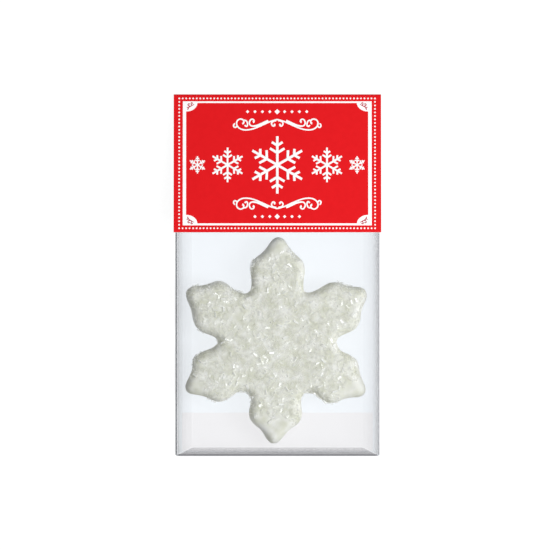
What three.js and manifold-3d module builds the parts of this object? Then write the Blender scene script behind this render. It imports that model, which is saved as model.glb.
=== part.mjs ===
// A sugared marshmallow snowflake, sealed in a clear film bag that hangs from a folded header card.
// Millimetres, +Z up. The pack lies on its back: +X to its right, +Y up the pack towards the card,
// +Z out of its front. The origin is the middle of the outline, on the surface that it lies on.
import * as THREE from "three";
import { mergeVertices } from "three/addons/utils/BufferGeometryUtils.js";
import Module from "manifold-3d";

const wasm = await Module();
wasm.setup();

// The pack as a whole.
const PACK_LENGTH = 135.7;
const PACK_TOP = PACK_LENGTH / 2;
const PACK_BOTTOM = -PACK_LENGTH / 2;
const GAP = 0.3; // air between pieces that touch

// The header card: one strip of board, folded over the bag's mouth.
const CARD_WIDTH = 77.8;
const CARD_HEIGHT = 51.8; // from the fold to the lower edge, seen from the front
const CARD_THICKNESS = 0.4;
const CARD_FOLD_RADIUS = 1.1; // outside the fold
const FOLD_STEPS = 8;
const CARD_LIP = PACK_TOP - CARD_HEIGHT;

// The bag: flat front and back panels, and sides that meet in a crease.
const BAG_WIDTH = 76.6;
const BAG_DEPTH = 13.4;
const BAG_CREASE_Z = 4.5;
const BAG_CREASE_HALF = 0.2; // half the height of the crease's flat edge
const BAG_FLOOR = 0.5;
const FRONT_SIDE_BEVEL = 6.2; // how far the front panel stands in from the crease, each side
const FRONT_FOOT_BEVEL = 3.3; // and at the bottom
const BACK_SIDE_BEVEL = 2.5;
const BACK_FOOT_BEVEL = 1.9;
const BAG_CORNER_CUT = 0.5; // the blunt bottom corners of the crease
const MOUTH_INSET = 1.9; // the mouth ends this far below the card's fold
const MOUTH_Z = CARD_THICKNESS + GAP; // the mouth lies on the card's back leaf
const MOUTH_THICKNESS = 0.8;
const SIDE_ARC_STEPS = 5;

// The marshmallow: a six-armed snowflake, cut from a soft slab.
const SWEET_CENTRE = new THREE.Vector2(-0.25, -24.7);
const SWEET_BOTTOM = BAG_FLOOR + GAP;
const SWEET_THICKNESS = 11.4;
const SWEET_EDGE_RADIUS = 4.2; // of the rounding round the front face
const SWEET_FOOT_RADIUS = 1.0;
const SWEET_LUMP = 0.18; // height of the soft swells of the front face
const SWELLS_ACROSS = 0.31; // and how closely they follow each other, in radians per millimetre
const SWELLS_ALONG = 0.27;
const NOTCH_ANGLE = 30; // from an arm's axis to the notch beside it
const OUTLINE_STEPS = 22 * 6;
// One row for each arm, anticlockwise from the right: axis, reach, lean of the tip, the angles at
// which its two flanks stand, the reach of the sugar along it, and the reach of the notch before
// it. Degrees, and millimetres from the centre.
const ARMS = [
  { axis: 30, reach: 38.2, lean: -1, before: 24.5, after: 21.0, sugar: 37.0, notch: 22.2 },
  { axis: 90, reach: 38.8, lean: -1, before: 23.6, after: 22.4, sugar: 32.5, notch: 20.8 },
  { axis: 150, reach: 38.6, lean: 0.5, before: 20.5, after: 25.0, sugar: 37.5, notch: 20.8 },
  { axis: 210, reach: 38.8, lean: -1.5, before: 23.0, after: 21.8, sugar: 33.0, notch: 21.7 },
  { axis: 270, reach: 38.5, lean: -2, before: 23.0, after: 21.5, sugar: 29.5, notch: 22.1 },
  { axis: 330, reach: 38.4, lean: -1, before: 24.0, after: 21.0, sugar: 32.0, notch: 22.1 },
];
const ARM_ROOT = 22.3; // from the centre to where an arm leaves the body
// One side of an arm, from its tip to its root: the share of the flank's angle, and the reach as
// a share of the way from its root to the tip.
const ARM_SIDE = [
  [0.12, 0.96],
  [0.29, 0.8],
  [0.42, 0.7],
  [0.62, 0.62],
  [0.8, 0.52],
  [0.94, 0.32],
  [1.02, 0.12],
];

// The sugar: coarse crystals set into the front face.
const CRYSTAL_COUNT = 220;
const CRYSTAL_LENGTH = [1.3, 2.1];
const CRYSTAL_WIDTH = [0.8, 1.1];
const CRYSTAL_STANDS = 0.45; // how far a crystal's upper side stands off the face
const CRYSTAL_TILT = 0.35; // radians, either way
const CRYSTAL_SEED = 22;
const CRYSTAL_EDGE = 1.4; // the crystals keep this far in from the outline
const SPIRAL_SHARE = 1.65; // points of the spiral for each crystal, as many fall off the shape
const GOLDEN_ANGLE = Math.PI * (3 - Math.sqrt(5));

// The pocket in the bag, which the marshmallow fills.
const POCKET_CLEARANCE = 1.0; // from the marshmallow's outline

// Colours and finishes.
const cardRed = new THREE.MeshStandardMaterial({ color: 0xe31e25, roughness: 0.45, metalness: 0 });
const sugarWhite = new THREE.MeshStandardMaterial({ color: 0xe4e5dc, roughness: 0.6, metalness: 0 });
const clearFilm = new THREE.MeshStandardMaterial({
  color: 0xf6f7fb,
  roughness: 0.1,
  metalness: 0,
  transparent: true,
  opacity: 0.3,
});

const mix = (low, high, share) => low + (high - low) * share;

// A repeatable random draw from 0 to 1.
function randomDraw(seed) {
  let state = seed;
  return () => {
    state = (state * 1664525 + 1013904223) >>> 0;
    return state / 2 ** 32;
  };
}

function solidOf(geometry) {
  geometry.deleteAttribute("normal");
  geometry.deleteAttribute("uv");
  const merged = mergeVertices(geometry, 1e-4);
  return new wasm.Manifold(
    new wasm.Mesh({
      numProp: 3,
      vertProperties: merged.attributes.position.array,
      triVerts: new Uint32Array(merged.index.array),
    }),
  );
}

function geometryOf(solid) {
  const mesh = solid.getMesh();
  return new THREE.BufferGeometry()
    .setAttribute("position", new THREE.BufferAttribute(mesh.vertProperties, 3))
    .setIndex(new THREE.BufferAttribute(mesh.triVerts, 1));
}

// A closed solid through a row of rings that have as many points each. The two ends are flat fans.
function loftedGeometry(rings) {
  const count = rings[0].length;
  const points = rings.flat();
  const faces = [];
  for (let r = 0; r + 1 < rings.length; r++) {
    for (let i = 0; i < count; i++) {
      const a = r * count + i;
      const b = r * count + ((i + 1) % count);
      faces.push(a, b, b + count, a, b + count, a + count);
    }
  }
  const ends = [
    { first: 0, turn: [1, 0] },
    { first: (rings.length - 1) * count, turn: [0, 1] },
  ];
  for (const { first, turn } of ends) {
    const ring = points.slice(first, first + count);
    const middle = points.length;
    points.push(ring.reduce((sum, p) => sum.add(p), new THREE.Vector3()).divideScalar(count));
    for (let i = 0; i < count; i++) {
      faces.push(middle, first + ((i + turn[0]) % count), first + ((i + turn[1]) % count));
    }
  }
  const geometry = new THREE.BufferGeometry().setFromPoints(points);
  return geometry.setIndex(faces);
}

// The bag's section at y, anticlockwise from the back's right edge. Above each crease the side is
// an arc, so that the film turns softly into the front.
function bagSection(y, backZ, frontZ, creaseZ, halfWidth, backBevel, frontBevel) {
  const right = [new THREE.Vector3(halfWidth - backBevel, y, backZ)];
  right.push(new THREE.Vector3(halfWidth, y, creaseZ - BAG_CREASE_HALF));
  for (let step = 0; step <= SIDE_ARC_STEPS; step++) {
    const angle = (step / SIDE_ARC_STEPS) * (Math.PI / 2);
    const foot = creaseZ + BAG_CREASE_HALF;
    const x = halfWidth - frontBevel * (1 - Math.cos(angle));
    right.push(new THREE.Vector3(x, y, foot + (frontZ - foot) * Math.sin(angle)));
  }
  const left = right.map((p) => new THREE.Vector3(-p.x, p.y, p.z)).reverse();
  return [...right, ...left];
}

// The bag's outer form, filled: its bottom seam, the bevel above it, the flat run and the slope
// on which the film closes up to the mouth, under the card.
function bagOuterSolid() {
  const half = BAG_WIDTH / 2;
  const seam = bagSection(
    PACK_BOTTOM,
    BAG_CREASE_Z - 2 * BAG_CREASE_HALF,
    BAG_CREASE_Z + 2 * BAG_CREASE_HALF,
    BAG_CREASE_Z,
    half - BAG_CORNER_CUT,
    BAG_CORNER_CUT,
    BAG_CORNER_CUT,
  );
  const footShare = BACK_FOOT_BEVEL / FRONT_FOOT_BEVEL;
  const foot = bagSection(
    PACK_BOTTOM + BACK_FOOT_BEVEL,
    0,
    mix(BAG_CREASE_Z, BAG_DEPTH, footShare),
    BAG_CREASE_Z,
    half,
    BACK_SIDE_BEVEL,
    FRONT_SIDE_BEVEL * footShare,
  );
  const flat = (y) =>
    bagSection(y, 0, BAG_DEPTH, BAG_CREASE_Z, half, BACK_SIDE_BEVEL, FRONT_SIDE_BEVEL);
  const mouth = bagSection(
    PACK_TOP - MOUTH_INSET,
    0,
    MOUTH_Z + MOUTH_THICKNESS,
    MOUTH_Z + MOUTH_THICKNESS / 2,
    half,
    BAG_CORNER_CUT,
    BAG_CORNER_CUT,
  );
  return solidOf(
    loftedGeometry([
      mouth,
      flat(CARD_LIP + GAP),
      flat(PACK_BOTTOM + FRONT_FOOT_BEVEL),
      foot,
      seam,
    ]),
  );
}

// A profile in the plane of y and z, drawn out to both sides of the middle.
function acrossX(outline, width) {
  const shape = new THREE.Shape(outline.map(([y, z]) => new THREE.Vector2(y, z)));
  const geometry = new THREE.ExtrudeGeometry(shape, { depth: width, bevelEnabled: false });
  geometry.translate(0, 0, -width / 2);
  // Turned so that the drawing's x and y become y and z.
  geometry.applyMatrix4(new THREE.Matrix4().set(0, 0, 1, 0, 1, 0, 0, 0, 0, 1, 0, 0, 0, 0, 0, 1));
  return geometry;
}

// The slope of the card's front leaf, which lies on the front edge of the bag.
function cardLeaf() {
  const foldCentre = new THREE.Vector2(PACK_TOP - CARD_FOLD_RADIUS, CARD_FOLD_RADIUS);
  const run = foldCentre.x - CARD_LIP;
  const rise = BAG_DEPTH + GAP + CARD_THICKNESS - foldCentre.y;
  const slope = Math.acos(CARD_FOLD_RADIUS / Math.hypot(run, rise)) - Math.atan2(run, rise);
  return { foldCentre, slope };
}

// The card's section: back leaf, fold and front leaf, outside and then back along the inside.
function cardGeometry() {
  const { foldCentre, slope } = cardLeaf();
  const leaf = (radius) => {
    const points = [];
    for (let step = 0; step <= FOLD_STEPS; step++) {
      const angle = mix(-Math.PI / 2, Math.PI / 2 - slope, step / FOLD_STEPS);
      points.push([
        foldCentre.x + radius * Math.cos(angle),
        foldCentre.y + radius * Math.sin(angle),
      ]);
    }
    const [y, z] = points[FOLD_STEPS];
    const length = (y - CARD_LIP) / Math.cos(slope);
    points.push([y - length * Math.cos(slope), z + length * Math.sin(slope)]);
    return [[CARD_LIP, foldCentre.y - radius], ...points];
  };
  const outside = leaf(CARD_FOLD_RADIUS);
  const inside = leaf(CARD_FOLD_RADIUS - CARD_THICKNESS).reverse();
  return acrossX([...outside, ...inside], CARD_WIDTH);
}

// The snowflake's outline as a smooth closed curve about its centre.
function outlinePoints() {
  const at = (degrees, reach) => {
    const angle = THREE.MathUtils.degToRad(degrees);
    return new THREE.Vector3(reach * Math.cos(angle), reach * Math.sin(angle), 0);
  };
  const knots = [];
  for (const arm of ARMS) {
    const along = (share) => mix(ARM_ROOT, arm.reach, share);
    const before = ARM_SIDE.map(([turn, share]) =>
      at(arm.axis + arm.lean * (1 - turn) - arm.before * turn, along(share)),
    );
    const after = ARM_SIDE.map(([turn, share]) =>
      at(arm.axis + arm.lean * (1 - turn) + arm.after * turn, along(share)),
    );
    knots.push(at(arm.axis - NOTCH_ANGLE, arm.notch));
    knots.push(...before.reverse(), at(arm.axis + arm.lean, arm.reach), ...after);
  }
  const curve = new THREE.CatmullRomCurve3(knots, true, "centripetal");
  return curve.getSpacedPoints(OUTLINE_STEPS).slice(0, OUTLINE_STEPS);
}

const outline = outlinePoints();

function distanceToOutline(x, y) {
  let least = Infinity;
  for (let i = 0; i < outline.length; i++) {
    const a = outline[i];
    const b = outline[(i + 1) % outline.length];
    const dx = b.x - a.x;
    const dy = b.y - a.y;
    const t = ((x - a.x) * dx + (y - a.y) * dy) / (dx * dx + dy * dy);
    const s = THREE.MathUtils.clamp(t, 0, 1);
    least = Math.min(least, Math.hypot(x - a.x - dx * s, y - a.y - dy * s));
  }
  return least;
}

// The height of the front face at a point inside the outline: rounded down towards the edge, and
// slightly uneven, as a soft slab is.
function faceHeight(x, y) {
  const inward = Math.min(distanceToOutline(x, y), SWEET_EDGE_RADIUS);
  const short = SWEET_EDGE_RADIUS - inward;
  const fall = SWEET_EDGE_RADIUS - Math.sqrt(SWEET_EDGE_RADIUS ** 2 - short ** 2);
  const swell = Math.sin(SWELLS_ACROSS * x) * Math.cos(SWELLS_ALONG * y) - 1;
  return SWEET_BOTTOM + SWEET_THICKNESS - fall + SWEET_LUMP * swell;
}

// The bare slab: a foot, an upright side, and rings that shrink towards the centre of the face.
function slabSolid() {
  const ring = (scale, heightAt) =>
    outline.map((p) => {
      const x = p.x * scale;
      const y = p.y * scale;
      return new THREE.Vector3(x, y, heightAt(x, y));
    });
  const footShare = 1 - SWEET_FOOT_RADIUS / ARM_ROOT;
  const faceShares = [0.985, 0.95, 0.9, 0.82, 0.66, 0.36];
  const rings = [
    ring(footShare, () => SWEET_BOTTOM),
    ring(1, () => SWEET_BOTTOM + SWEET_FOOT_RADIUS),
    ring(1, () => SWEET_BOTTOM + SWEET_THICKNESS - SWEET_EDGE_RADIUS - 2 * SWEET_LUMP),
    ...faceShares.map((share) => ring(share, faceHeight)),
  ];
  return solidOf(loftedGeometry(rings));
}

// How far the sugar reaches from the centre at an angle: to each arm's own limit.
function sugarReach(angle) {
  const degrees = THREE.MathUtils.euclideanModulo(THREE.MathUtils.radToDeg(angle), 360);
  const nearest = (arm) => {
    const off = THREE.MathUtils.euclideanModulo(degrees - arm.axis + 180, 360) - 180;
    return Math.abs(off) <= NOTCH_ANGLE;
  };
  return ARMS.find(nearest).sugar;
}

function insideOutline(x, y) {
  let inside = false;
  for (let i = 0; i < outline.length; i++) {
    const a = outline[i];
    const b = outline[(i + 1) % outline.length];
    const crosses = a.y > y !== b.y > y;
    if (crosses && x < a.x + ((y - a.y) / (b.y - a.y)) * (b.x - a.x)) inside = !inside;
  }
  return inside;
}

// The crystals, spread evenly over the sugared part of the face by a sunflower spiral.
function crystalSolids() {
  const draw = randomDraw(CRYSTAL_SEED);
  const widest = Math.max(...ARMS.map((arm) => arm.sugar));
  const spiral = SPIRAL_SHARE * CRYSTAL_COUNT;
  const solids = [];
  for (let n = 0; n < spiral && solids.length < CRYSTAL_COUNT; n++) {
    const reach = widest * Math.sqrt((n + 0.5) / spiral);
    const angle = n * GOLDEN_ANGLE;
    const x = reach * Math.cos(angle);
    const y = reach * Math.sin(angle);
    const length = mix(...CRYSTAL_LENGTH, draw());
    const width = mix(...CRYSTAL_WIDTH, draw());
    const turn = new THREE.Euler(
      mix(-CRYSTAL_TILT, CRYSTAL_TILT, draw()),
      mix(-CRYSTAL_TILT, CRYSTAL_TILT, draw()),
      Math.PI * draw(),
      "ZXY",
    );
    if (reach > sugarReach(angle) || !insideOutline(x, y)) continue;
    if (distanceToOutline(x, y) < CRYSTAL_EDGE) continue;
    const stands = CRYSTAL_STANDS - width / 2;
    const box = new THREE.BoxGeometry(length, width, width);
    box.applyMatrix4(new THREE.Matrix4().makeRotationFromEuler(turn));
    box.translate(x, y, faceHeight(x, y) + stands);
    solids.push(solidOf(box));
  }
  return solids;
}

function marshmallowSolid() {
  const sugar = wasm.Manifold.union(crystalSolids());
  const fused = slabSolid().add(sugar);
  return fused.translate([SWEET_CENTRE.x, SWEET_CENTRE.y, 0]);
}

// The pocket that the marshmallow fills: its outline, let out all round.
function pocketSolid() {
  const shape = new THREE.Shape(
    outline.map((p, i) => {
      const a = outline[(i + outline.length - 1) % outline.length];
      const b = outline[(i + 1) % outline.length];
      const out = new THREE.Vector2(b.y - a.y, a.x - b.x).normalize();
      return new THREE.Vector2(p.x, p.y).addScaledVector(out, POCKET_CLEARANCE);
    }),
  );
  const depth = BAG_DEPTH * 2;
  const geometry = new THREE.ExtrudeGeometry(shape, { depth, bevelEnabled: false });
  geometry.translate(SWEET_CENTRE.x, SWEET_CENTRE.y, BAG_FLOOR);
  return solidOf(geometry);
}

// The room for the card's back leaf, under the part of the bag that it backs.
function backLeafRoomSolid() {
  const ramp = 1.5;
  const below = -1;
  const start = CARD_LIP - GAP;
  return solidOf(
    acrossX(
      [
        [start - ramp, below],
        [PACK_TOP + 1, below],
        [PACK_TOP + 1, MOUTH_Z],
        [start, MOUTH_Z],
        [start - ramp, 0],
      ],
      BAG_WIDTH + 2,
    ),
  );
}

// The bag stands as one solid, the film with the air in it. Its front is open over the
// marshmallow, where the film lies on the sugar with nothing between.
function bagSolid() {
  return bagOuterSolid().subtract(pocketSolid()).subtract(backLeafRoomSolid());
}

function named(name, geometry, material) {
  const mesh = new THREE.Mesh(geometry, material);
  mesh.name = name;
  return mesh;
}

const pack = new THREE.Group();
pack.add(
  named("header_card", cardGeometry(), cardRed),
  named("clear_bag", geometryOf(bagSolid()), clearFilm),
  named("marshmallow", geometryOf(marshmallowSolid()), sugarWhite),
);

export default pack;
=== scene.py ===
"""The looks of a sugared marshmallow snowflake in a clear film bag under a folded header card.

Metres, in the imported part's frame: the pack lies on its back, +X to its right, +Y up the pack to
the card's fold and +Z out of its front. Sizes are written in millimetres, through mm().
"""
import math
import random

import bmesh
import bpy
import numpy as np
from mathutils import Matrix, Vector, noise
from mathutils.bvhtree import BVHTree


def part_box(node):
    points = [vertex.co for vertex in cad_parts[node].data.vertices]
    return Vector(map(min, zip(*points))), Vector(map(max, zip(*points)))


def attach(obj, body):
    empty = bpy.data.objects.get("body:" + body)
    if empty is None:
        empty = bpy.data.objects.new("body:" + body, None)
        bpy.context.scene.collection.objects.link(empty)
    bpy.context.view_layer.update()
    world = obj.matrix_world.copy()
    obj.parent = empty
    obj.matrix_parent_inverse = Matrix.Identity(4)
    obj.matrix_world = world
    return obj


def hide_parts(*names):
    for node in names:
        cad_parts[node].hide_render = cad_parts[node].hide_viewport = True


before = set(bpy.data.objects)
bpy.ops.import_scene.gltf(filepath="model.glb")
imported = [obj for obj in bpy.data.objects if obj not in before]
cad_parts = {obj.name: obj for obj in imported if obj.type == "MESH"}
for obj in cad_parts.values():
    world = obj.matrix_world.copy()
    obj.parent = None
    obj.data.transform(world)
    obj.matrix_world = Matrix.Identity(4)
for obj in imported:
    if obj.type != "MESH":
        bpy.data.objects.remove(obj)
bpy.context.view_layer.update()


def mm(value):
    """Millimetres as metres."""
    return value / 1000


BAG_LOW, BAG_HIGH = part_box("clear_bag")
CARD_LOW, CARD_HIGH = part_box("header_card")

# One pixel of the photograph, and where the frame's origin falls in it.
PIXEL = mm(0.375)
ORIGIN_PX = (277.4, 275.1)
PHOTO_SIDE = 550

# The bag's film. Its panels meet in a narrow fin at each crease.
BAG_HALF = BAG_HIGH.x
FILM_THICKNESS = mm(0.05)
FOLD_TURN = math.radians(72)
CREASE_Z = mm(4.5)
FIN_WIDTH = mm(0.5)
FIN_HALF = mm(0.09)
CORNER_CUT = mm(0.5)
FRONT_SIDE_BEVEL = mm(6.2)
FRONT_FOOT_BEVEL = mm(3.3)
BACK_SIDE_BEVEL = mm(2.5)
BACK_FOOT_BEVEL = mm(1.9)
MOUTH_Z = mm(0.7)
MOUTH_THICKNESS = mm(0.8)
MOUTH_BEVEL = mm(0.8)
FLAP_TOP = mm(-51.6)
FLAP_Z = mm(0.3)

# The card, and the slope of its front leaf from the lip up to the fold.
CARD_THICKNESS = mm(0.4)
FOLD_RADIUS = mm(1.1)
LIP_Y = CARD_LOW.y
GAP = mm(0.3)
FOLD_Y = CARD_HIGH.y - FOLD_RADIUS
LEAF_RUN = FOLD_Y - LIP_Y
LEAF_RISE = BAG_HIGH.z + GAP + CARD_THICKNESS - FOLD_RADIUS
LEAF_SLOPE = math.acos(FOLD_RADIUS / math.hypot(LEAF_RUN, LEAF_RISE)) - math.atan2(LEAF_RUN, LEAF_RISE)
INK_THICKNESS = mm(0.03)

# The marshmallow's slab.
SLAB_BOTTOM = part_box("marshmallow")[0].z
SLAB_THICKNESS = mm(11.4)
EDGE_RADIUS = mm(3.3)
FOOT_RADIUS = mm(1.0)
SWEET_CENTRE = Vector((mm(-0.25), mm(-24.7)))


def from_photo(px, py):
    """A place in the photograph as X and Y in the frame."""
    return (px - ORIGIN_PX[0]) * PIXEL, (ORIGIN_PX[1] - py) * PIXEL


def look_down():
    """The camera, far above the pack with a long lens, with the photograph's frame."""
    lens = 1200.0
    sensor = 36.0
    farthest = 20.0
    x, y = from_photo(PHOTO_SIDE / 2, PHOTO_SIDE / 2)
    height = PHOTO_SIDE * PIXEL * lens / sensor
    bpy.ops.object.camera_add(location=(x, y, BAG_HIGH.z / 2 + height), rotation=(0, 0, 0))
    camera = bpy.context.active_object
    camera.data.lens = lens
    camera.data.sensor_width = sensor
    camera.data.clip_end = farthest
    bpy.context.scene.camera = camera


look_down()


# Modelling


def only(*pieces):
    """Selects these pieces and nothing else, the first of them active."""
    bpy.ops.object.select_all(action="DESELECT")
    for piece in pieces:
        piece.select_set(True)
    bpy.context.view_layer.objects.active = pieces[0]


def settle(piece):
    """Puts a piece's place into its mesh."""
    only(piece)
    bpy.ops.object.transform_apply(location=True, rotation=True, scale=True)


def added(name):
    """The object that a primitive has just added, named and settled."""
    piece = bpy.context.active_object
    piece.name = name
    piece.data.name = name
    settle(piece)
    return piece


def edit(piece):
    """Takes a piece into edit mode."""
    only(piece)
    bpy.ops.object.mode_set(mode="EDIT")


def leave():
    """Leaves edit mode."""
    bpy.ops.object.mode_set(mode="OBJECT")


def select(piece, test):
    """In edit mode, selects the vertices whose places pass a test, and what they bound."""
    bpy.ops.mesh.select_mode(type="VERT")
    bpy.ops.mesh.select_all(action="DESELECT")
    mesh = bmesh.from_edit_mesh(piece.data)
    for vertex in mesh.verts:
        vertex.select = test(vertex.co)
    mesh.select_flush(True)
    bmesh.update_edit_mesh(piece.data)


def recalculate(piece, merge=mm(0.001)):
    """Merges doubles and turns the faces outwards."""
    edit(piece)
    bpy.ops.mesh.select_all(action="SELECT")
    bpy.ops.mesh.remove_doubles(threshold=merge)
    bpy.ops.mesh.normals_make_consistent(inside=False)
    leave()


def modify(piece, kind, **settings):
    """Adds a modifier to a piece and applies it."""
    modifier = piece.modifiers.new(kind.lower(), kind)
    for name, value in settings.items():
        setattr(modifier, name, value)
    only(piece)
    bpy.ops.object.modifier_apply(modifier=modifier.name)


def joined(pieces, name):
    """Pieces joined into the first of them, under a new name."""
    only(*pieces)
    bpy.ops.object.join()
    pieces[0].name = name
    pieces[0].data.name = name
    return pieces[0]


def smooth(piece, degrees=180):
    """Shades a piece smooth over edges that turn less than this."""
    only(piece)
    bpy.ops.object.shade_smooth_by_angle(angle=math.radians(degrees))


def dress(piece, material, slot, *nodes):
    """Gives a piece its material and its body, and hides the nodes that it stands for; slot is not
    used.
    """
    piece.data.materials.clear()
    piece.data.materials.append(material)
    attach(piece, "root")
    if nodes:
        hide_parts(*nodes)


def ring_of(points, name):
    """A mesh circle drawn out to a closed row of points."""
    bpy.ops.object.select_all(action="DESELECT")
    bpy.ops.mesh.primitive_circle_add(vertices=len(points), radius=1)
    ring = added(name)
    for vertex, point in zip(ring.data.vertices, points):
        vertex.co = point
    return ring


# Materials


def linear(sheet_hex):
    """An sRGB hex colour as linear red, green, blue and alpha."""
    channels = [int(sheet_hex[i : i + 2], 16) / 255 for i in (1, 3, 5)]
    return [c / 12.92 if c <= 0.04045 else ((c + 0.055) / 1.055) ** 2.4 for c in channels] + [1.0]


def new_material(name):
    """A material that has no nodes yet."""
    material = bpy.data.materials.new(name)
    material.use_nodes = True
    material.node_tree.nodes.clear()
    return material


def set_stops(color_ramp, stops):
    """Gives a colour ramp its stops, each a position with a hex colour or a number."""
    elements = color_ramp.elements
    elements[0].position, elements[-1].position = stops[0][0], stops[-1][0]
    for position, _ in stops[1:-1]:
        elements.new(position)
    for element, (_, value) in zip(elements, stops):
        element.color = linear(value) if isinstance(value, str) else (value, value, value, 1.0)


def add_node(material, kind, settings):
    """Adds a node. A setting is for an input, by its name or number, a property, or the stops.

    A node or a socket that is given for an input is linked to it.
    """
    node = material.node_tree.nodes.new(kind)
    for name, value in settings.items():
        if name == "stops":
            set_stops(node.color_ramp, value)
        elif isinstance(value, bpy.types.Node):
            material.node_tree.links.new(value.outputs[0], node.inputs[name])
        elif isinstance(value, bpy.types.NodeSocket):
            material.node_tree.links.new(value, node.inputs[name])
        elif isinstance(name, int) or name in node.inputs:
            node.inputs[name].default_value = value
        else:
            setattr(node, name, value)
    return node


def per(size_mm):
    """The scale of a pattern in Object coordinates whose marks are this many millimetres."""
    return 1000 / size_mm


# The film. Light from the floor passes four faces of the bag, and each tints it once.
FILM_TINT = "#FCFDFE"
FOLDED_TINT = "#FFFDFC"
FILM_IOR = 1.49
FILM_GLOSS = 0.015  # what one face mirrors straight on
FILM_ROUGHNESS = 0.08
# The grey sheet of the painted shade on the bevels, and its roughness.
SHADE_GREY = "#747379"
SHADE_GREY_ROUGHNESS = 0.3

# Painted shade on the front's bevels: how much of what lies behind it the film hides under a grey
# sheet, across a side and up the foot, from the crease inwards. It paints the shading of the curved
# bevels: a dark line at each crease, on the left a lighter line as a painted highlight, and grey that
# fades inwards. Each stop is a share of the bevel, and what the two faces of the film hide together.
LEFT_BEVEL_SHADE = [
    (0.0, 0.72), (0.1, 0.72), (0.12, 0.18), (0.15, 0.18), (0.17, 0.46), (0.21, 0.44),
    (0.25, 0.29), (0.38, 0.24), (0.5, 0.14), (0.7, 0.08), (1.0, 0.03),
]
RIGHT_BEVEL_SHADE = [
    (0.0, 0.6), (0.08, 0.6), (0.1, 0.5), (0.2, 0.52), (0.24, 0.41),
    (0.36, 0.28), (0.48, 0.17), (0.6, 0.1), (0.8, 0.05), (1.0, 0.02),
]
# Up the foot the painted shade is this strong edge-on, and weaker as the foot turns to the eye.
FOOT_BEVEL_SHADE = [
    (0.0, 0.81), (0.06, 0.82), (0.12, 0.99), (0.2, 1.0), (0.28, 0.96), (0.4, 0.91),
    (0.51, 0.83), (0.63, 0.8), (0.74, 0.75), (0.87, 0.85), (0.97, 0.55), (1.0, 0.21),
]

# Where two bevels meet in a mitre: its half width as a share, and how much of the painted shade stays
# there, so that a lighter line shows along the mitre as a painted highlight.
MITRE_WIDTH = 0.07
MITRE_SHADE_KEPT = 0.4


def one_face(stops):
    """The stops for one face of the film, so that two faces hide what the given stops say."""
    return [(at, 1 - math.sqrt(1 - hidden)) for at, hidden in stops]


def clear_film(film, tint):
    """Clear film: it mirrors a little straight on and much at a glance, from either side."""
    clear = add_node(film, "ShaderNodeBsdfTransparent", {"Color": linear(tint)})
    gloss = add_node(film, "ShaderNodeBsdfGlossy", {"Roughness": FILM_ROUGHNESS})
    facing = add_node(film, "ShaderNodeLayerWeight", {"Blend": 0.5}).outputs["Facing"]
    glance = add_node(film, "ShaderNodeMath", {"operation": "POWER", 0: facing, 1: 5.0})
    mirrors = add_node(
        film,
        "ShaderNodeMath",
        {"operation": "MULTIPLY_ADD", 0: glance, 1: 1 - FILM_GLOSS, 2: FILM_GLOSS},
    )
    return add_node(film, "ShaderNodeMixShader", {0: mirrors, 1: clear, 2: gloss})


def painted_shade_on_bevels(film):
    """How much one face of the film hides: the painted shade on the front's bevels, and elsewhere none.
    """
    place = add_node(film, "ShaderNodeTexCoord", {}).outputs["Object"]
    x, y, z = add_node(film, "ShaderNodeSeparateXYZ", {0: place}).outputs
    aside = add_node(film, "ShaderNodeMath", {"operation": "ABSOLUTE", 0: x})
    side_end = BAG_HALF - FRONT_SIDE_BEVEL
    side_share = add_node(
        film,
        "ShaderNodeMapRange",
        {"clamp": False, "Value": aside, "From Min": BAG_HALF, "From Max": side_end},
    )
    foot_end = BAG_LOW.y + FRONT_FOOT_BEVEL
    foot_share = add_node(
        film,
        "ShaderNodeMapRange",
        {"clamp": False, "Value": y, "From Min": BAG_LOW.y, "From Max": foot_end},
    )
    left = add_node(film, "ShaderNodeValToRGB", {"Fac": side_share, "stops": one_face(LEFT_BEVEL_SHADE)})
    right = add_node(film, "ShaderNodeValToRGB", {"Fac": side_share, "stops": one_face(RIGHT_BEVEL_SHADE)})
    on_left = add_node(film, "ShaderNodeMath", {"operation": "LESS_THAN", 0: x, 1: 0.0})
    side = add_node(film, "ShaderNodeMix", {"Factor": on_left, "A": right, "B": left})
    up_foot = add_node(film, "ShaderNodeValToRGB", {"Fac": foot_share, "stops": one_face(FOOT_BEVEL_SHADE)})
    facing = add_node(film, "ShaderNodeLayerWeight", {"Blend": 0.5}).outputs["Facing"]
    fin_share = FIN_WIDTH / FRONT_FOOT_BEVEL
    on_fin = add_node(film, "ShaderNodeMath", {"operation": "LESS_THAN", 0: foot_share, 1: fin_share})
    edge_on = add_node(film, "ShaderNodeMath", {"operation": "MAXIMUM", 0: facing, 1: on_fin})
    foot = add_node(film, "ShaderNodeMath", {"operation": "MULTIPLY", 0: up_foot, 1: edge_on})
    mitre = add_node(film, "ShaderNodeMath", {"operation": "MINIMUM", 0: side_share, 1: 1.0})
    on_foot = add_node(film, "ShaderNodeMath", {"operation": "LESS_THAN", 0: foot_share, 1: mitre})
    bevel_shade = add_node(film, "ShaderNodeMix", {"Factor": on_foot, "A": side, "B": foot})
    # Along the mitre less painted shade stays, which paints a lighter line as a highlight.
    on_mitre = add_node(
        film,
        "ShaderNodeMath",
        {"operation": "COMPARE", 0: side_share, 1: foot_share, 2: MITRE_WIDTH},
    )
    stays = add_node(film, "ShaderNodeMix", {"Factor": on_mitre, "A": 1.0, "B": MITRE_SHADE_KEPT})
    thinned = add_node(film, "ShaderNodeMath", {"operation": "MULTIPLY", 0: bevel_shade, 1: stays})
    inward = add_node(film, "ShaderNodeMath", {"operation": "MINIMUM", 0: side_share, 1: foot_share})
    on_bevel = add_node(film, "ShaderNodeMath", {"operation": "LESS_THAN", 0: inward, 1: 1.0})
    on_front = add_node(film, "ShaderNodeMath", {"operation": "GREATER_THAN", 0: z, 1: CREASE_Z})
    shown = add_node(film, "ShaderNodeMath", {"operation": "MULTIPLY", 0: on_bevel, 1: on_front})
    return add_node(film, "ShaderNodeMath", {"operation": "MULTIPLY", 0: thinned, 1: shown})


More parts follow.
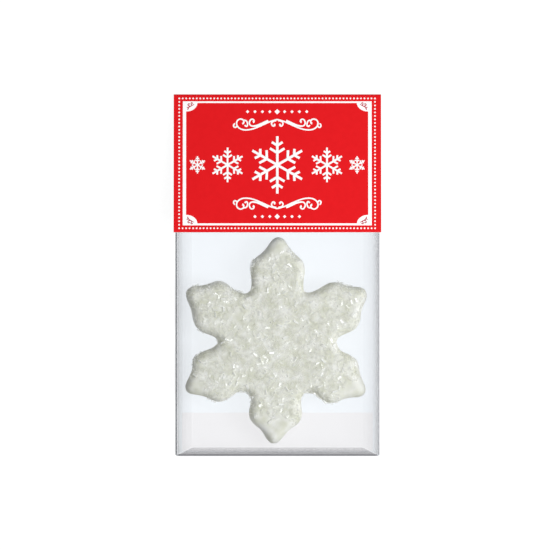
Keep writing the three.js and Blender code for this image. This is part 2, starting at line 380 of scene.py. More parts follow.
def cast_film():
    """Cast polypropylene film: clear and glossy, with grey painted shade across the front's bevels."""
    film = new_material("cast_film_with_painted_bevel_shade")
    # The grey sheet that the film turns into on its bevels, as painted shade.
    shade_sheet = add_node(
        film,
        "ShaderNodeBsdfPrincipled",
        {"Base Color": linear(SHADE_GREY), "Roughness": SHADE_GREY_ROUGHNESS, "IOR": FILM_IOR},
    )
    skin = clear_film(film, FILM_TINT)
    shaded_film = add_node(film, "ShaderNodeMixShader", {0: painted_shade_on_bevels(film), 1: skin, 2: shade_sheet})
    add_node(film, "ShaderNodeOutputMaterial", {"Surface": shaded_film})
    return film


def folded_film():
    """The same film where a second layer lies on it: a little greyer."""
    film = new_material("folded_polypropylene_film")
    add_node(film, "ShaderNodeOutputMaterial", {"Surface": clear_film(film, FOLDED_TINT)})
    return film


def printed_board(name, pale, deep):
    """Offset ink on coated board: one satin colour, faintly mottled, over a fine paper grain."""
    board = new_material(name)
    place = add_node(board, "ShaderNodeTexCoord", {}).outputs["Object"]
    grain = add_node(board, "ShaderNodeTexNoise", {"Vector": place, "Scale": per(0.4), "Detail": 2.0})
    bump = add_node(board, "ShaderNodeBump", {"Strength": 0.1, "Distance": mm(0.02), "Height": grain})
    cloud = add_node(board, "ShaderNodeTexNoise", {"Vector": place, "Scale": per(2.2), "Detail": 3.0})
    ink = add_node(board, "ShaderNodeValToRGB", {"Fac": cloud, "stops": [(0.3, deep), (0.7, pale)]})
    body = add_node(
        board,
        "ShaderNodeBsdfPrincipled",
        {
            "Base Color": ink,
            "Roughness": 0.45,
            "IOR": 1.5,
            "Specular IOR Level": 0.12,
            "Normal": bump,
        },
    )
    add_node(board, "ShaderNodeOutputMaterial", {"Surface": body})
    return board


def whipped_sugar():
    """Marshmallow: whipped sugar and gelatine, matt and soft, with light a little way inside."""
    foam = new_material("whipped_marshmallow")
    place = add_node(foam, "ShaderNodeTexCoord", {}).outputs["Object"]
    pores = add_node(foam, "ShaderNodeTexNoise", {"Vector": place, "Scale": per(0.5), "Detail": 3.0})
    bump = add_node(foam, "ShaderNodeBump", {"Strength": 0.25, "Distance": mm(0.08), "Height": pores})
    cloud = add_node(foam, "ShaderNodeTexNoise", {"Vector": place, "Scale": per(4.0), "Detail": 3.0})
    tones = [(0.32, "#CDCCBA"), (0.68, "#E4E2DB")]
    patches = add_node(foam, "ShaderNodeValToRGB", {"Fac": cloud, "stops": tones})
    body = add_node(
        foam,
        "ShaderNodeBsdfPrincipled",
        {
            "Base Color": patches,
            "Roughness": 0.55,
            "IOR": 1.45,
            "Subsurface Weight": 0.1,
            "Subsurface Radius": (1.0, 0.95, 0.8),
            "Subsurface Scale": mm(1.5),
            "Normal": bump,
        },
    )
    add_node(foam, "ShaderNodeOutputMaterial", {"Surface": body})
    return foam


# The share of crystals white with frost, partly real frost and partly painted glints, how milky those
# are, and how rough a face is.
FROST_AND_GLINT_SHARE = 0.07
FROST_AND_GLINT_MILK = 0.42
FACE_ROUGHNESS = 0.16


def sanding_sugar(name, tones, milkiness, shine):
    """Sanding sugar: half-clear crystals with flat faces, each with a faint tone of its own.

    A few are white with frost, partly real frost and partly painted glints: white bars that look the
    same under any light. shine is what a face mirrors, seen from outside.
    """
    sugar = new_material(name)
    tone = add_node(sugar, "ShaderNodeAttribute", {"attribute_name": "tone"}).outputs["Fac"]
    colour = add_node(sugar, "ShaderNodeValToRGB", {"Fac": tone, "stops": tones})
    clear = add_node(sugar, "ShaderNodeBsdfTransparent", {})
    milk = add_node(sugar, "ShaderNodeBsdfDiffuse", {"Color": colour, "Roughness": 0.0})
    least = 1 - FROST_AND_GLINT_SHARE
    # Crystals past this tone are white with frost: partly real frost, partly painted glints.
    frost_and_glint = add_node(sugar, "ShaderNodeMath", {"operation": "GREATER_THAN", 0: tone, 1: least})
    milky = add_node(sugar, "ShaderNodeMix", {"Factor": frost_and_glint, "A": milkiness, "B": FROST_AND_GLINT_MILK})
    body = add_node(sugar, "ShaderNodeMixShader", {0: milky, 1: clear, 2: milk})
    face = add_node(sugar, "ShaderNodeBsdfGlossy", {"Roughness": FACE_ROUGHNESS})
    inside = add_node(sugar, "ShaderNodeNewGeometry", {}).outputs["Backfacing"]
    shining = add_node(sugar, "ShaderNodeMix", {"Factor": inside, "A": shine, "B": 0.0})
    crystal = add_node(sugar, "ShaderNodeMixShader", {0: shining, 1: body, 2: face})
    add_node(sugar, "ShaderNodeOutputMaterial", {"Surface": crystal})
    return sugar


# The marshmallow

OUTLINE_POINTS = 396
VOXEL = mm(0.55)

# The swells in its face: their size and height in millimetres, and a seed.
SWELLS = [(13.0, 0.5, 3.1), (2.6, 0.12, 7.7)]


def slab_outline(count):
    """The slab's outline, from the top of its solid's foot, as a smooth closed row of points."""
    level = SLAB_BOTTOM + FOOT_RADIUS
    found = {
        (round(v.co.x, 6), round(v.co.y, 6))
        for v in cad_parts["marshmallow"].data.vertices
        if abs(v.co.z - level) < mm(0.005)
    }
    knots = np.array(
        sorted(found, key=lambda p: math.atan2(p[1] - SWEET_CENTRE.y, p[0] - SWEET_CENTRE.x))
    )
    steps = np.hypot(*(np.roll(knots, -1, axis=0) - knots).T)
    run = np.concatenate([[0], np.cumsum(steps)])
    points = []
    for distance in np.linspace(0, run[-1], count, endpoint=False):
        i = int(np.searchsorted(run, distance, side="right")) - 1
        t = (distance - run[i]) / steps[i]
        a, b, c, d = (knots[(i + k) % len(knots)] for k in (-1, 0, 1, 2))
        square = (2 * a - 5 * b + 4 * c - d) * t**2
        cube = (3 * b - a - 3 * c + d) * t**3
        points.append((2 * b + (c - a) * t + square + cube) / 2)
    return np.array(points)


OUTLINE = slab_outline(OUTLINE_POINTS)


def distance_inside(places):
    """How far points of X and Y lie from the slab's outline."""
    ahead = np.roll(OUTLINE, -1, axis=0) - OUTLINE
    least = np.full(len(places), 1.0)
    for start, along in zip(OUTLINE, ahead):
        share = np.clip(((places - start) @ along) / (along @ along), 0, 1)
        off = places - start - share[:, None] * along
        least = np.minimum(least, np.hypot(off[:, 0], off[:, 1]))
    return least


def swell(piece, size_mm, height_mm, seed):
    """Moves each vertex along its normal by smooth noise of a size and height."""
    start = Vector((seed, seed, seed))
    normals = [vertex.normal.copy() for vertex in piece.data.vertices]
    moved = [
        vertex.co + normal * mm(height_mm) * noise.noise(vertex.co * per(size_mm) + start)
        for vertex, normal in zip(piece.data.vertices, normals)
    ]
    piece.data.vertices.foreach_set("co", np.array(moved).ravel())
    piece.data.update()


def marshmallow_slab():
    """The soft slab: its outline drawn up, remeshed, and rounded down towards its edge."""
    slab = ring_of([(x, y, SLAB_BOTTOM) for x, y in OUTLINE], "marshmallow_slab")
    edit(slab)
    bpy.ops.mesh.select_all(action="SELECT")
    bpy.ops.mesh.edge_face_add()
    bpy.ops.mesh.extrude_region_move(TRANSFORM_OT_translate={"value": (0, 0, SLAB_THICKNESS)})
    leave()
    recalculate(slab)
    modify(slab, "REMESH", mode="VOXEL", voxel_size=VOXEL)
    modify(slab, "SMOOTH", factor=0.5, iterations=2)
    co = np.array([v.co for v in slab.data.vertices])
    inward = np.minimum(distance_inside(co[:, :2]), EDGE_RADIUS)
    short = EDGE_RADIUS - inward
    fall = EDGE_RADIUS - np.sqrt(EDGE_RADIUS**2 - short**2)
    share = np.clip((co[:, 2] - SLAB_BOTTOM) / SLAB_THICKNESS, 0, 1)
    co[:, 2] -= fall * share**2
    slab.data.vertices.foreach_set("co", co.ravel())
    slab.data.update()
    modify(slab, "SMOOTH", factor=0.5, iterations=3)
    for size_mm, height_mm, seed in SWELLS:
        swell(slab, size_mm, height_mm, seed)
    smooth(slab)
    return slab


# The sugar

# How far from the centre the sugar reaches, by the axis of each arm in degrees, in millimetres.
SUGAR_REACH = {30: 35.5, 90: 32.0, 150: 38.0, 210: 34.5, 270: 29.5, 330: 34.0}

# Spots without sugar, as pixels of the photograph: their middles and radii.
BARE_SPOTS = [
    (353, 394, 14), (195, 389, 11), (302, 264, 6), (238, 316, 6), (244, 380, 4),
    (264, 253, 6), (264, 418, 5), (196, 312, 5),
]

# The coat's edge wanders by this much, in waves of this many millimetres, and is loose by the last.
EDGE_WANDER = mm(3.0)
EDGE_WAVE = 4.0
EDGE_LOOSE = mm(0.6)

# Crystals on the face: how many, how far apart their middles are at least, and how many places
# are tried for each at most.
COARSE_COUNT = 950
COARSE_APART = mm(1.4)
FINE_COUNT = 2800
FINE_APART = mm(0.45)
TRIES = 40
STEEPEST = 0.5  # the least upward part of a normal that still counts as the face

# Crystals on the flanks: how many are tried, the share of the height that they keep to, and the
# size in millimetres and the edge of the clusters that they stand in.
FLANK_COUNT = 360
FLANK_HEIGHTS = (0.35, 0.85)
CLUSTER_SIZE = 9.0
CLUSTER_EDGE = 0.12

# The two kinds of crystal, in millimetres: their length, their width and height, how high their
# middles stand off the surface, and what their edges lose as a share of their size. Both lean by
# a slope of about TILT.
COARSE = dict(length=(1.5, 2.2), width=(0.55, 0.95), stands=(-0.05, 0.25), bevel=0.05)
FINE = dict(length=(0.6, 1.0), width=(0.35, 0.6), stands=(-0.12, -0.04), bevel=0)
TILT = 0.2
COARSE_SEED = 11
FINE_SEED = 12
FLANK_SEED = 13

COARSE_TONES = [(0.0, "#EDECE0"), (0.85, "#F9F8F0"), (1.0, "#FFFFFC")]
FINE_TONES = [(0.0, "#F2F1E6"), (1.0, "#FFFFFA")]


def crystal_block(bevel):
    """One crystal of unit length, width and height, its edges cut off: its corners and faces."""
    bpy.ops.object.select_all(action="DESELECT")
    bpy.ops.mesh.primitive_cube_add(size=1)
    block = added("crystal")
    if bevel:
        edit(block)
        bpy.ops.mesh.select_all(action="SELECT")
        bpy.ops.mesh.bevel(offset=bevel, segments=1)
        leave()
    corners = np.array([v.co for v in block.data.vertices])
    faces = [list(face.vertices) for face in block.data.polygons]
    bpy.data.objects.remove(block)
    return corners, faces


def sugar_reach(off):
    """How far from the centre the sugar reaches in a direction."""
    degrees = math.degrees(math.atan2(off.y, off.x))
    arm = min(SUGAR_REACH, key=lambda axis: abs((degrees - axis + 180) % 360 - 180))
    return mm(SUGAR_REACH[arm])


def on_bare_spot(x, y, uneven):
    """Whether a place is in one of the spots without sugar."""
    for px, py, radius in BARE_SPOTS:
        middle_x, middle_y = from_photo(px, py)
        if math.hypot(x - middle_x, y - middle_y) < radius * PIXEL + uneven:
            return True
    return False


def scattered(slab, count, apart, seed):
    """Seeded places on the slab's face, at least so far apart, each with the face's normal."""
    tree = BVHTree.FromObject(slab, bpy.context.evaluated_depsgraph_get())
    draw = random.Random(seed)
    low = OUTLINE.min(0)
    high = OUTLINE.max(0)
    above = mm(30)
    taken = {}
    found = []
    for _ in range(count * TRIES):
        if len(found) == count:
            break
        x = draw.uniform(low[0], high[0])
        y = draw.uniform(low[1], high[1])
        column, row = int(x // apart), int(y // apart)
        cells = [(column + i, row + j) for i in (-1, 0, 1) for j in (-1, 0, 1)]
        near = [other for cell in cells for other in taken.get(cell, [])]
        if any(math.hypot(x - a, y - b) < apart for a, b in near):
            continue
        off = Vector((x, y)) - SWEET_CENTRE
        uneven = EDGE_WANDER * noise.noise(Vector((x, y, 0)) * per(EDGE_WAVE))
        uneven += draw.gauss(0, EDGE_LOOSE)
        if off.length > sugar_reach(off) + uneven or on_bare_spot(x, y, uneven / 2):
            continue
        place, normal, _, _ = tree.ray_cast(Vector((x, y, above)), Vector((0, 0, -1)))
        if place is None or normal.z < STEEPEST:
            continue
        taken.setdefault((column, row), []).append((x, y))
        found.append((place, normal))
    return found


def on_flanks(slab, count, seed):
    """Seeded places on the slab's flanks, below its rounding, each with the flank's normal."""
    tree = BVHTree.FromObject(slab, bpy.context.evaluated_depsgraph_get())
    draw = random.Random(seed)
    clear_of = mm(4.0)
    found = []
    for _ in range(count):
        index = draw.randrange(len(OUTLINE))
        x, y = OUTLINE[index]
        along = OUTLINE[(index + 1) % len(OUTLINE)] - OUTLINE[index - 1]
        out = Vector((along[1], -along[0], 0)).normalized()
        off = Vector((x, y)) - SWEET_CENTRE
        cluster = noise.noise(Vector((x, y, 0)) * per(CLUSTER_SIZE))
        if off.length > sugar_reach(off) or on_bare_spot(x, y, 0) or cluster < CLUSTER_EDGE:
            continue
        height = SLAB_BOTTOM + SLAB_THICKNESS * draw.uniform(*FLANK_HEIGHTS)
        place, normal, _, _ = tree.ray_cast(Vector((x, y, height)) + out * clear_of, -out)
        if place is not None:
            found.append((place, normal))
    return found


def sugar_coat(name, places, seed, length, width, stands, bevel):
    """A coat of crystals as one mesh, each sized, tilted and turned by a seeded draw."""
    corners, faces = crystal_block(bevel)
    draw = random.Random(seed)
    blocks = []
    all_faces = []
    tones = []
    for place, normal in places:
        size = np.array([draw.uniform(*length), draw.uniform(*width), draw.uniform(*width)])
        lean = Vector((draw.gauss(0, TILT), draw.gauss(0, TILT), 1))
        lean.rotate(normal.to_track_quat("Z", "Y"))
        turn = lean.to_track_quat("Z", "Y").to_matrix()
        turn = turn @ Matrix.Rotation(draw.uniform(0, 2 * math.pi), 3, "Z")
        middle = place + normal * mm(draw.uniform(*stands))
        all_faces += [[len(blocks) * len(corners) + i for i in face] for face in faces]
        blocks.append(corners * size / 1000 @ np.array(turn).T + np.array(middle))
        tones += [draw.random()] * len(corners)
    mesh = bpy.data.meshes.new(name)
    mesh.from_pydata(np.concatenate(blocks), [], all_faces)
    mesh.attributes.new("tone", "FLOAT", "POINT").data.foreach_set("value", tones)
    coat = bpy.data.objects.new(name, mesh)
    bpy.context.scene.collection.objects.link(coat)
    return coat


def make_marshmallow():
    """The slab, and a coarse coat of sugar over a fine one."""
    slab = marshmallow_slab()
    coarse_places = scattered(slab, COARSE_COUNT, COARSE_APART, COARSE_SEED)
    coarse_places += on_flanks(slab, FLANK_COUNT, FLANK_SEED)
    fine_places = scattered(slab, FINE_COUNT, FINE_APART, FINE_SEED)
    coarse = sugar_coat("coarse_sugar", coarse_places, COARSE_SEED, **COARSE)
    fine = sugar_coat("fine_sugar", fine_places, FINE_SEED, **FINE)
    coarse_sugar = sanding_sugar("coarse_sanding_sugar", COARSE_TONES, milkiness=0.17, shine=0.06)
    fine_sugar = sanding_sugar("fine_sanding_sugar", FINE_TONES, milkiness=0.08, shine=0.02)
    dress(slab, whipped_sugar(), "sugared_marshmallow", "marshmallow")
    dress(coarse, coarse_sugar, "sugared_marshmallow", "marshmallow")
    dress(fine, fine_sugar, "sugared_marshmallow", "marshmallow")


# The film bag

ARC_STEPS = 9
FOOT_STEPS = 9
BACK_POINTS = 9
FRONT_POINTS = 21
STRIP_LENGTH = mm(3.0)

# The back lifts off the table over this length, just below the card.
LIFT_LENGTH = mm(1.5)

# The slack of the front: how deep it is, how far in from the bevels it is full, its waves' size
# in millimetres, and how near the top a vertex is that counts as the front.
SLACK = mm(0.14)
SLACK_RUN = mm(5.0)
SLACK_WAVE = 16.0
FRONT_DEPTH = mm(1.0)

# The folded end: the cuts across each side of its mesh, and its waves' height, and their size in
# millimetres.
FLAP_CUTS = 8
FLAP_WAVE_HEIGHT = mm(0.1)
FLAP_WAVE = 14.0


def arc_shares(turn):
    """How far in and up the bevel's arc has come. It meets the front in a soft fold."""
    angle = turn * FOLD_TURN
    return (1 - math.cos(angle)) / (1 - math.cos(FOLD_TURN)), math.sin(angle) / math.sin(FOLD_TURN)


def film_section(y, half, crease, back, front, back_set, front_set, back_share=1.0, turn=1.0):
    """The bag's section at y: its back, a fin at the crease, the side's arc, and its front.

    back_share and turn say how far the back and the arc have come from the crease.
    """
    inner = half - FIN_WIDTH
    under = crease - FIN_HALF
    over = crease + FIN_HALF
    side = [(inner, under), (half, under), (half, over), (inner, over)]
    for step in range(1, ARC_STEPS + 1):
        in_share, up_share = arc_shares(step / ARC_STEPS * turn)
        side.append((inner - (front_set - FIN_WIDTH) * in_share, over + (front - over) * up_share))
    edge, top = side[-1]
    back_edge = inner - (back_set - FIN_WIDTH) * back_share
    bottom = under + (back - under) * back_share
    section = [(x, bottom) for x in np.linspace(-back_edge, back_edge, BACK_POINTS)]
    section += side
    section += [(x, top) for x in np.linspace(edge, -edge, FRONT_POINTS + 2)[1:-1]]
    section += [(-x, z) for x, z in reversed(side)]
    return [(x, y, z) for x, z in section]


def film_sections():
    """The bag's sections from its bottom seam up to its mouth, between the card's leaves."""
    body = dict(
        half=BAG_HALF,
        crease=CREASE_Z,
        back=0.0,
        front=BAG_HIGH.z,
        back_set=BACK_SIDE_BEVEL,
        front_set=FRONT_SIDE_BEVEL,
    )
    seam = {**body, "half": BAG_HALF - CORNER_CUT}
    sections = [film_section(BAG_LOW.y, **seam, back_share=0.0, turn=0.0)]
    for step in range(FOOT_STEPS + 1):
        turn = step / FOOT_STEPS
        set_in = (FRONT_FOOT_BEVEL - FIN_WIDTH) * arc_shares(turn)[0]
        back_share = min(1.0, set_in / (BACK_FOOT_BEVEL - FIN_WIDTH))
        y = BAG_LOW.y + FIN_WIDTH + set_in
        sections.append(film_section(y, **body, back_share=back_share, turn=turn))
    raised = {**body, "back": MOUTH_Z}
    sections.append(film_section(LIP_Y - GAP - LIFT_LENGTH, **body))
    sections.append(film_section(LIP_Y - GAP, **raised))
    sections.append(film_section(LIP_Y + GAP, **raised))
    mouth = dict(
        half=BAG_HALF,
        crease=MOUTH_Z + MOUTH_THICKNESS / 2,
        back=MOUTH_Z,
        front=MOUTH_Z + MOUTH_THICKNESS,
        back_set=MOUTH_BEVEL,
        front_set=MOUTH_BEVEL,
    )
    sections.append(film_section(BAG_HIGH.y, **mouth))
    return sections


def slacken(skin):
    """Lets the front of the film down a little, inside its bevels and up to the card."""
    for vertex in skin.data.vertices:
        x, y, z = vertex.co
        inside = min(BAG_HALF - FRONT_SIDE_BEVEL - abs(x), y - BAG_LOW.y - FRONT_FOOT_BEVEL, LIP_Y - y)
        if z > BAG_HIGH.z - FRONT_DEPTH and inside > 0:
            share = min(1.0, inside / SLACK_RUN)
            vertex.co.z -= SLACK * share * (1 + noise.noise(vertex.co * per(SLACK_WAVE)))


def film_bag():
    """The bag's skin: its sections bridged, closed at both ends, and given the film's wall."""
    sections = film_sections()
    skin = joined([ring_of(points, "film_bag") for points in sections], "film_bag")
    levels = [points[0][1] for points in sections]
    edit(skin)
    for low, high in zip(levels, levels[1:]):
        select(skin, lambda co: min(abs(co.y - low), abs(co.y - high)) < mm(0.001))
        cuts = int((high - low) / STRIP_LENGTH)
        bpy.ops.mesh.bridge_edge_loops(number_cuts=cuts, interpolation="LINEAR")
    for end in (levels[0], levels[-1]):
        select(skin, lambda co: abs(co.y - end) < mm(0.001))
        bpy.ops.mesh.edge_face_add()
    leave()
    recalculate(skin, mm(0.002))
    slacken(skin)
    modify(skin, "SOLIDIFY", thickness=FILM_THICKNESS, offset=-1)
    smooth(skin, degrees=17)
    return skin


def seal_flap():
    """The end of the film, folded up behind the marshmallow from the bottom seam."""
    low = BAG_LOW.y + BACK_FOOT_BEVEL
    half = BAG_HALF - BACK_SIDE_BEVEL
    bpy.ops.object.select_all(action="DESELECT")
    bpy.ops.mesh.primitive_cube_add(
        size=1,
        location=(0, (low + FLAP_TOP) / 2, FLAP_Z),
        scale=(2 * half, FLAP_TOP - low, FILM_THICKNESS),
    )
    flap = added("seal_flap")
    edit(flap)
    bpy.ops.mesh.select_all(action="SELECT")
    bpy.ops.mesh.subdivide(number_cuts=FLAP_CUTS)
    leave()
    for vertex in flap.data.vertices:
        vertex.co.z += FLAP_WAVE_HEIGHT * noise.noise(vertex.co * per(FLAP_WAVE))
    smooth(flap, degrees=40)
    return flap


def make_bag():
    """The bag's skin, and the folded end behind it."""
    dress(film_bag(), cast_film(), "clear_film", "clear_bag")
    dress(seal_flap(), folded_film(), "clear_film", "clear_bag")


# The header card

FOLD_STEPS = 18
OUTWARD = 0.6  # the least outward part of a normal that still counts as printed


def card_strip():
    """The strip of board: its back leaf, spun round the fold and drawn down the front slope."""
    half = CARD_HIGH.x
    bpy.ops.object.select_all(action="DESELECT")
    bpy.ops.mesh.primitive_cube_add(
        size=1,
        location=(0, (LIP_Y + FOLD_Y) / 2, CARD_THICKNESS / 2),
        scale=(2 * half, FOLD_Y - LIP_Y, CARD_THICKNESS),
    )
    strip = added("header_card_board")
    edit(strip)
    select(strip, lambda co: co.y > FOLD_Y - mm(0.01))
    turn = LEAF_SLOPE - math.pi
    bpy.ops.mesh.spin(steps=FOLD_STEPS, angle=turn, center=(0, FOLD_Y, FOLD_RADIUS), axis=(1, 0, 0))
    reach = (FOLD_Y + FOLD_RADIUS * math.sin(LEAF_SLOPE) - LIP_Y) / math.cos(LEAF_SLOPE)
    down = (0, -reach * math.cos(LEAF_SLOPE), reach * math.sin(LEAF_SLOPE))
    bpy.ops.mesh.extrude_region_move(TRANSFORM_OT_translate={"value": down})
    leave()
    recalculate(strip)
    return strip


def printed_side(face):
    """Whether a face of the strip looks out of the folded card, and not into it or to its side."""
    outwards = Vector((0, max(0, face.center.y - FOLD_Y), face.center.z - FOLD_RADIUS))
    return face.normal.dot(outwards.normalized()) > OUTWARD


def leaf_height(y):
    """How high the front leaf's outer face lies at y."""
    start = FOLD_Y + FOLD_RADIUS * math.sin(LEAF_SLOPE)
    return FOLD_RADIUS * (1 + math.cos(LEAF_SLOPE)) + (start - y) * math.tan(LEAF_SLOPE)


def lay_on_leaf(piece, above=0.0):
    """Lays a flat print, made at height 0, on the front leaf."""
    for vertex in piece.data.vertices:
        vertex.co.z += leaf_height(vertex.co.y) + above


def curve_mesh(name, curve):
    """The mesh that a curve draws."""
    drawn = bpy.data.objects.new(name, curve)
    bpy.context.scene.collection.objects.link(drawn)
    only(drawn)
    bpy.ops.object.convert(target="MESH")
    return bpy.context.active_object


def strokes(lines, name, width):
    """Lines drawn with a round pen, pressed flat. Each point may carry its share of the width."""
    curve = bpy.data.curves.new(name, "CURVE")
    curve.dimensions = "3D"
    curve.bevel_depth = width / 2
    curve.bevel_resolution = 2
    curve.use_fill_caps = True
    curve.resolution_u = 6
    for line in lines:
        spline = curve.splines.new("NURBS")
        spline.points.add(len(line) - 1)
        for point, (x, y, *share) in zip(spline.points, line):
            point.co = (x, y, 0, 1)
            point.radius = share[0] if share else 1.0
        spline.order_u = min(3, len(line))
        spline.use_endpoint_u = True
    drawn = curve_mesh(name, curve)
    drawn.scale.z = 2 * INK_THICKNESS / width
    settle(drawn)
    return drawn


def pressed(outlines, name):
    """A flat shape between closed outlines, the first round the rest, as thick as the ink."""
    curve = bpy.data.curves.new(name, "CURVE")
    curve.dimensions = "2D"
    curve.fill_mode = "BOTH"
    curve.extrude = INK_THICKNESS
    for outline in outlines:
        spline = curve.splines.new("POLY")
        spline.points.add(len(outline) - 1)
        for point, (x, y) in zip(spline.points, outline):
            point.co = (x, y, 0, 1)
        spline.use_cyclic_u = True
    shape = curve_mesh(name, curve)
    recalculate(shape, mm(0.0001))
    return shape


# The printed border, as pixels of the photograph.
DOTS_LEFT, DOTS_RIGHT, DOTS_TOP, DOTS_BOTTOM = 179.2, 375.0, 98.3, 228.3
DOTS_ACROSS = 56
DOTS_DOWN = 37
DOT_SIZE = mm(0.66)
FRAME_OUTER = (182.8, 101.2, 371.7, 225.4)
FRAME_INNER = (186.1, 102.9, 368.2, 223.4)
CORNER_ACROSS = 11.3
CORNER_DOWN = 8.5
CORNER_STEPS = 12


def border_dots():
    """The row of dots round the card's edge."""
    columns = np.linspace(DOTS_LEFT, DOTS_RIGHT, DOTS_ACROSS + 1)
    rows = np.linspace(DOTS_TOP, DOTS_BOTTOM, DOTS_DOWN + 1)
    centres = [(column, row) for column in columns for row in (DOTS_TOP, DOTS_BOTTOM)]
    centres += [(column, row) for row in rows[1:-1] for column in (DOTS_LEFT, DOTS_RIGHT)]
    bpy.ops.object.select_all(action="DESELECT")
    bpy.ops.mesh.primitive_cylinder_add(vertices=12, radius=DOT_SIZE / 2, depth=2 * INK_THICKNESS)
    dot = added("dot")
    dots = []
    for column, row in centres:
        copy = dot.copy()
        copy.data = dot.data.copy()
        copy.location = (*from_photo(column, row), 0)
        bpy.context.scene.collection.objects.link(copy)
        dots.append(copy)
    bpy.data.objects.remove(dot)
    border = joined(dots, "border_dots")
    settle(border)
    return border


def frame_line():
    """The white frame line, with a quarter of an oval bulging into each corner of the field."""
    left, top, right, bottom = FRAME_OUTER
    outer = [from_photo(*p) for p in [(left, top), (right, top), (right, bottom), (left, bottom)]]
    left, top, right, bottom = FRAME_INNER
    inner = []
    corners = [(right, top, 180), (right, bottom, 90), (left, bottom, 0), (left, top, -90)]
    for x, y, start in corners:
        for step in range(CORNER_STEPS + 1):
            angle = math.radians(start + step / CORNER_STEPS * 90)
            along = x + CORNER_ACROSS * math.cos(angle)
            inner.append(from_photo(along, y - CORNER_DOWN * math.sin(angle)))
    return pressed([outer, inner], "frame_line")


def mirrored(lines, across=None, up=None):
    """Lines in the photograph's pixels, mirrored about an upright or a level line."""
    result = []
    for line in lines:
        turned = []
        for x, y, *share in line:
            new_x = 2 * across - x if across is not None else x
            new_y = 2 * up - y if up is not None else y
            turned.append((new_x, new_y, *share))
        result.append(turned)
    return result


def placed(lines):
    """Lines in the photograph's pixels as lines in the frame."""
    return [[(*from_photo(x, y), *share) for x, y, *share in line] for line in lines]


# The right half of a scroll: pixels to the right of its middle and up from it, with the width.
SCROLL_HALF = [
    [
        (0, 5.0), (6.0, 3.6), (14.7, -0.6), (23.4, -4.3), (30.1, -5.6), (35.4, -5.2), (39.4, -2.8),
        (41.0, 0.6), (40.2, 4.0), (37.0, 5.8), (34.0, 4.8), (33.2, 2.2),
        (34.6, 0.9, 1.5), (35.0, 0.8, 1.2),
    ],
    [
        (9.0, 3.9, 1.3), (14.0, 1.6, 1.5), (19.8, -1.2, 1.4), (25.8, -1.9), (28.0, 0.3), (27.8, 3.2),
        (26.0, 5.6), (23.4, 4.9), (23.4, 2.6, 1.5), (24.4, 2.3, 1.4),
    ],
    [(34.0, 4.2), (31.4, 4.4), (29.8, 2.0), (29.6, -1.2), (31.4, -2.2, 1.3), (32.5, -0.6)],
    [(40.3, -1.2), (41.4, -3.4), (43.9, -2.2), (43.4, 0.6), (42.2, 0.9)],
    [(1.0, 3.9), (4.6, 3.4), (6.0, 1.0), (5.0, -1.4), (3.2, -1.7), (2.3, -0.4, 1.3), (3.2, 0.5, 1.3)],
]
SCROLL_MIDDLE = 277.2
UPPER_SCROLL = 124.4
LOWER_SCROLL = 203.6


def scrolls():
    """Two long scrolls, the lower one upside down."""
    half = [
        [(SCROLL_MIDDLE + out, UPPER_SCROLL - up, *share) for out, up, *share in line]
        for line in SCROLL_HALF
    ]
    upper = half + mirrored(half, across=SCROLL_MIDDLE)
    lower = mirrored(upper, up=(UPPER_SCROLL + LOWER_SCROLL) / 2)
    return strokes(placed(upper + lower), "scrolls", width=mm(0.58))


# A small curl for the top left corner, as pixels of the photograph.
CORNER_CURL = [
    [(187.6, 109.8), (188.4, 107.4), (190.4, 106.2), (194.2, 104.2, 0.7)],
    [(188.6, 107.6), (186.6, 107.8, 0.8), (187.2, 106.6, 0.8)],
    [(190.2, 106.2), (187.6, 105.6), (188.4, 103.2), (190.0, 104.2)],
    [(192.0, 105.2), (190.6, 103.4), (191.8, 102.2), (192.8, 103.6)],
]
FIELD_MIDDLE = (277.1, 163.3)


def corner_curls():
    """A red curl on the white of each corner."""
    left = CORNER_CURL + mirrored(CORNER_CURL, up=FIELD_MIDDLE[1])
    lines = placed(left + mirrored(left, across=FIELD_MIDDLE[0]))
    return strokes(lines, "corner_curls", width=mm(0.36))


# A snowflake's twigs: where they leave the arm and their length, as shares of the arm.
TWIGS = [(0.42, 0.3), (0.68, 0.22)]
TWIG_ANGLE = math.radians(58)


def snowflake(middle, size):
    """The lines of a six-armed snowflake with two pairs of twigs on each arm."""
    lines = []
    for arm in range(6):
        turn = Matrix.Rotation(math.radians(60 * arm + 30), 2)
        twigs = [[(0, 0), (0.5, 0), (1.0, 0)]]
        for start, reach in TWIGS:
            for side in (-1, 1):
                out = TWIG_ANGLE * side
                end = (start + reach * math.cos(out), reach * math.sin(out))
                twigs.append([(start, 0), end])
        for twig in twigs:
            lines.append([tuple(turn @ Vector(p) * size / 2 + Vector(middle)) for p in twig])
    return lines


def diamond(middle, size):
    """The outline of a diamond on its point."""
    x, y = middle
    return [(x + size, y), (x, y + size), (x - size, y), (x, y - size)]


# The ornaments in the field: their rows and middles as pixels, and their sizes and widths.
SNOW_ROW = 164.9
SNOWFLAKES = [
    (277.2, mm(21.5), mm(1.0)),
    (227.5, mm(13.0), mm(0.75)),
    (326.9, mm(13.0), mm(0.75)),
    (197.4, mm(6.5), mm(0.5)),
    (357.0, mm(6.5), mm(0.5)),
]


# The rows of diamonds as pixels, each with its count, and the step from one to the next.
DIAMOND_ROWS = [(111.6, 9), (216.6, 7)]
DIAMOND_STEP = 7.4
MIDDLE_DIAMOND_SIZE = mm(1.0)
DIAMOND_SIZE = mm(0.62)


def snow():
    """A row of snowflakes, the largest in the middle."""
    flakes = [
        strokes(snowflake(from_photo(px, SNOW_ROW), size), "snow", width)
        for px, size, width in SNOWFLAKES
    ]
    return joined(flakes, "snow")


def diamonds():
    """A short row of diamonds above the upper scroll and another under the lower one."""
    shapes = []
    for row, count in DIAMOND_ROWS:
        for index in range(count):
            off = index - count // 2
            middle = from_photo(SCROLL_MIDDLE + DIAMOND_STEP * off, row)
            size = DIAMOND_SIZE if off else MIDDLE_DIAMOND_SIZE
            shapes.append(pressed([diamond(middle, size)], "diamond"))
    return joined(shapes, "diamonds")


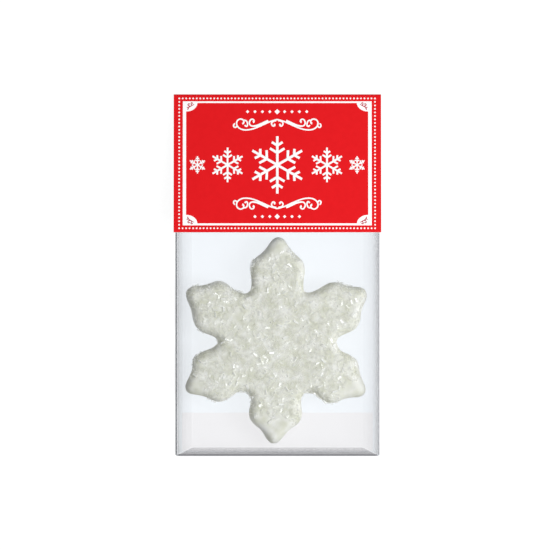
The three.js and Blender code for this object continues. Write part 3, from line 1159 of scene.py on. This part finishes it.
def make_card():
    """The board, red where it looks out, with its print on the front leaf."""
    red = printed_board("red_printed_board", "#DE141B", "#DA1219")
    white = printed_board("unprinted_white_board", "#FBFBFB", "#F6F6F6")
    crimson = printed_board("crimson_printed_board", "#BB1E3B", "#B21C38")
    board = card_strip()
    dress(board, white, "red_card", "header_card")
    board.data.materials.append(red)
    for face in board.data.polygons:
        face.material_index = int(printed_side(face))
    for print_piece in (border_dots(), frame_line(), scrolls(), snow(), diamonds()):
        lay_on_leaf(print_piece)
        dress(print_piece, white, "red_card", "header_card")
    curls = corner_curls()
    lay_on_leaf(curls, INK_THICKNESS)
    dress(curls, crimson, "red_card", "header_card")


# The studio

FLOOR_SIDE = 12.0
FLOOR_DROP = mm(0.05)
WORLD_STRENGTH = 0.33

# The soft key light, from the right.
KEY_PLACE = (0.6, -0.12, 0.6)
KEY_SIZE = 0.3
KEY_POWER = 5.0

# Small bright lights, by their azimuth and lean from upright in degrees. Each makes the crystals
# that face it glint.
SPARKLES = [(-75, 20), (-45, 30), (-15, 22), (10, 34), (25, 14), (50, 26)]
SPARKLE_DISTANCE = 0.82
SPARKLE_SIZE = 0.1
SPARKLE_POWER = 0.45


def make_floor():
    """A white floor that glows a little, so that it stays white in the key's shadow."""
    bpy.ops.object.select_all(action="DESELECT")
    bpy.ops.mesh.primitive_plane_add(size=FLOOR_SIDE, location=(0, 0, -FLOOR_DROP))
    floor = added("studio_floor")
    sheet = new_material("white_studio_floor")
    body = add_node(
        sheet,
        "ShaderNodeBsdfPrincipled",
        {
            "Base Color": linear("#646464"),
            "Roughness": 0.9,
            "Emission Color": linear("#FFFFFF"),
            "Emission Strength": 0.92,
        },
    )
    add_node(sheet, "ShaderNodeOutputMaterial", {"Surface": body})
    floor.data.materials.append(sheet)


def area_light(name, place, size, power, seen_in_gloss=True):
    """A square light that looks at the marshmallow's middle, and may be left out of mirrorings."""
    bpy.ops.object.light_add(type="AREA", location=place)
    light = bpy.context.active_object
    light.name = name
    light.data.size = size
    light.data.energy = power
    aim = Vector((SWEET_CENTRE.x, SWEET_CENTRE.y, BAG_HIGH.z)) - Vector(place)
    light.rotation_euler = aim.to_track_quat("-Z", "Y").to_euler()
    light.visible_camera = False
    light.visible_glossy = seen_in_gloss


def make_light():
    """An even white world, the key light and the small lights, shown without a film look."""
    world = bpy.data.worlds.new("studio")
    world.use_nodes = True
    background = world.node_tree.nodes["Background"]
    background.inputs["Color"].default_value = linear("#FFFFFF")
    background.inputs["Strength"].default_value = WORLD_STRENGTH
    bpy.context.scene.world = world
    area_light("soft_key", KEY_PLACE, KEY_SIZE, KEY_POWER, seen_in_gloss=False)
    for number, (azimuth, lean) in enumerate(SPARKLES):
        place = Vector((0, 0, SPARKLE_DISTANCE))
        place.rotate(Matrix.Rotation(math.radians(lean), 3, "Y"))
        place.rotate(Matrix.Rotation(math.radians(azimuth), 3, "Z"))
        area_light(f"sparkle_{number}", place, SPARKLE_SIZE, SPARKLE_POWER)
    bpy.context.scene.view_settings.view_transform = "Standard"
    bpy.context.scene.cycles.transparent_max_bounces = 32


make_marshmallow()
make_bag()
make_card()
make_floor()
make_light()
